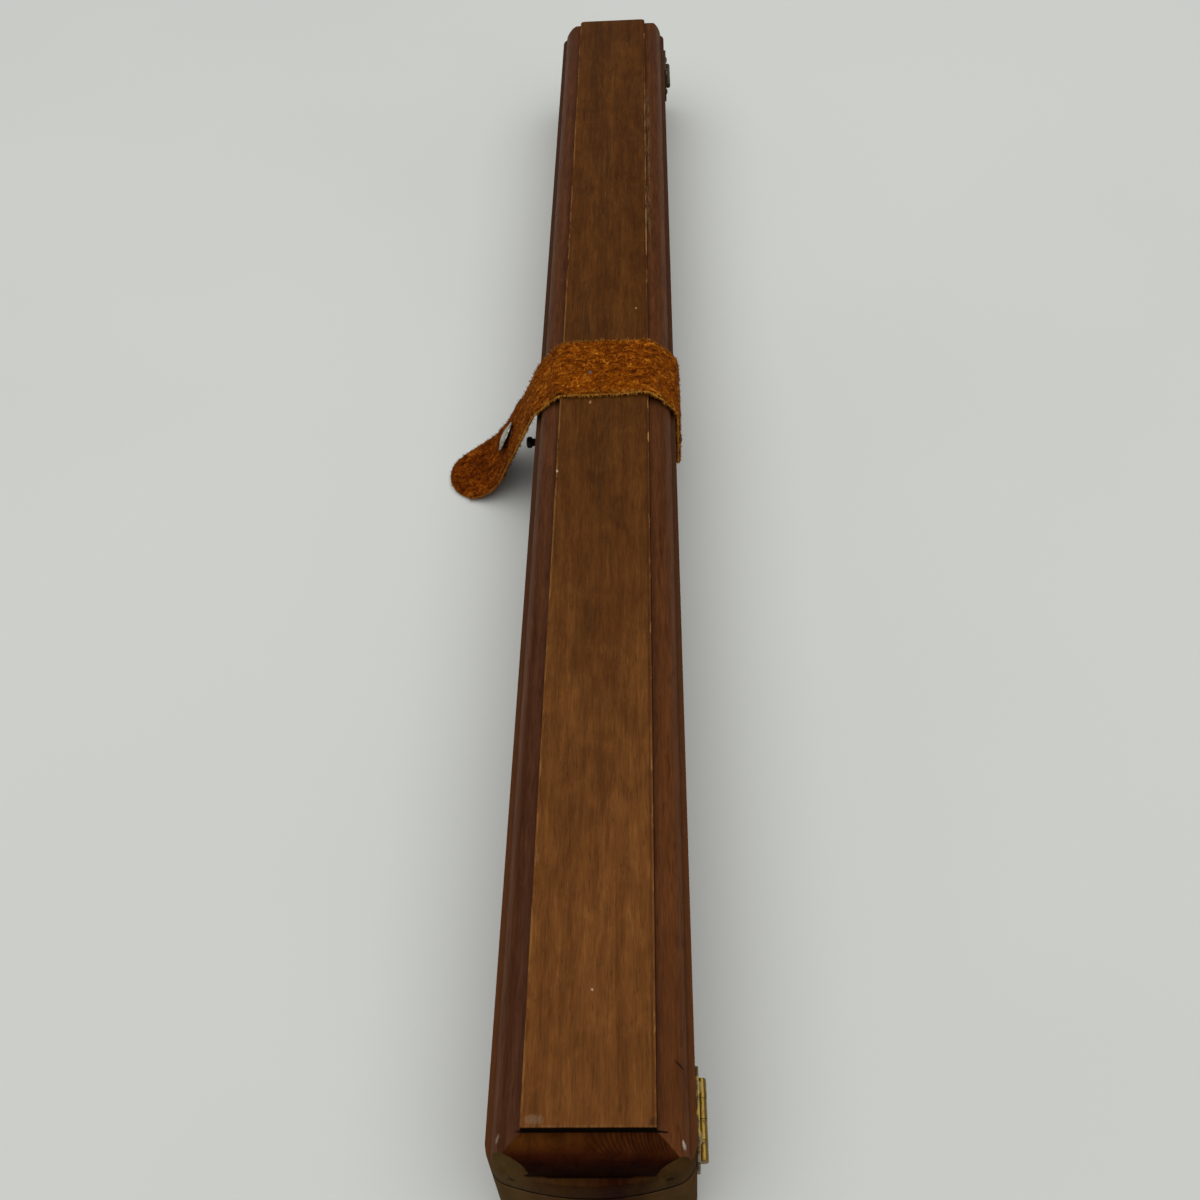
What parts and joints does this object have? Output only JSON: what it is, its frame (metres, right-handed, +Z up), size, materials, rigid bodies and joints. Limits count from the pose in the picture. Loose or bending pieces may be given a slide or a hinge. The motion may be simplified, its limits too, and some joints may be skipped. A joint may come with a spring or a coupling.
{
  "type": "flute case",
  "caption": "Long narrow wooden instrument case with a moulded hinged lid, a felt-lined cradle inside and a suede snap strap.",
  "frame": {"origin": "middle of the underside of the floor board", "axes": "+X along the case towards its near end, +Y towards the hinge side, +Z up; the snap strap is on the -Y side"},
  "size_m": [0.7, 0.112, 0.0636],
  "materials": {
    "stained_wood": "dark red-brown stain under a worn satin oil finish",
    "end_grain_wood": "end grain, darker in its rings, satin",
    "blued_steel": "black, worn at the edges",
    "brass": "tarnished",
    "suede": "napped suede",
    "nickel": "polished, lightly scuffed",
    "felt": "short wool felt"
  },
  "bodies": {
    "base": {"base_floor": "stained_wood", "base_front_rail": "stained_wood", "base_back_rail": "stained_wood", "base_near_end": "end_grain_wood", "base_far_end": "end_grain_wood", "base_brads": "blued_steel", "base_lining": "felt", "cradle_near": "felt", "cradle_middle": "felt", "cradle_far": "felt", "near_hinge_base_leaf": "brass", "near_hinge_pin": "brass", "far_hinge_base_leaf": "brass", "far_hinge_pin": "brass", "base_hinge_screws": "brass", "strap_anchor": "suede", "anchor_tacks": "blued_steel", "snap_stud": "blued_steel", "stud_spacer": "blued_steel", "stud_washer": "brass"},
    "lid": {"lid_board": "stained_wood", "lid_front_rail": "stained_wood", "lid_back_rail": "stained_wood", "lid_near_end": "end_grain_wood", "lid_far_end": "end_grain_wood", "lid_brads": "blued_steel", "lid_lining": "felt", "near_hinge_lid_leaf": "brass", "far_hinge_lid_leaf": "brass", "lid_hinge_screws": "brass", "strap_over_lid": "suede", "strap_tack": "nickel"},
    "strap_flap": {"strap_drop": "suede", "snap_cap": "nickel", "snap_post": "nickel", "snap_socket": "nickel"},
    "strap_tip": {"strap_tongue": "suede"}
  },
  "joints": [
    {"name": "lid_hinge", "type": "hinge", "parent": "base", "child": "lid", "pos_m": [0, 0.0329, 0.037], "axis": [-1, 0, 0], "range_deg": [0, 145]},
    {"name": "strap_bend", "type": "hinge", "parent": "lid", "child": "strap_flap", "pos_m": [0, -0.0324, 0.05124], "axis": [-1, 0, 0], "range_deg": [-15, 50]},
    {"name": "strap_knee", "type": "hinge", "parent": "strap_flap", "child": "strap_tip", "pos_m": [0, -0.05037, 0.01439], "axis": [-1, 0, 0], "range_deg": [-85, 25.5]}
  ],
  "couplings": [
    {"joint": "strap_knee", "follows": "strap_bend", "ratio": -1.7}
  ]
}
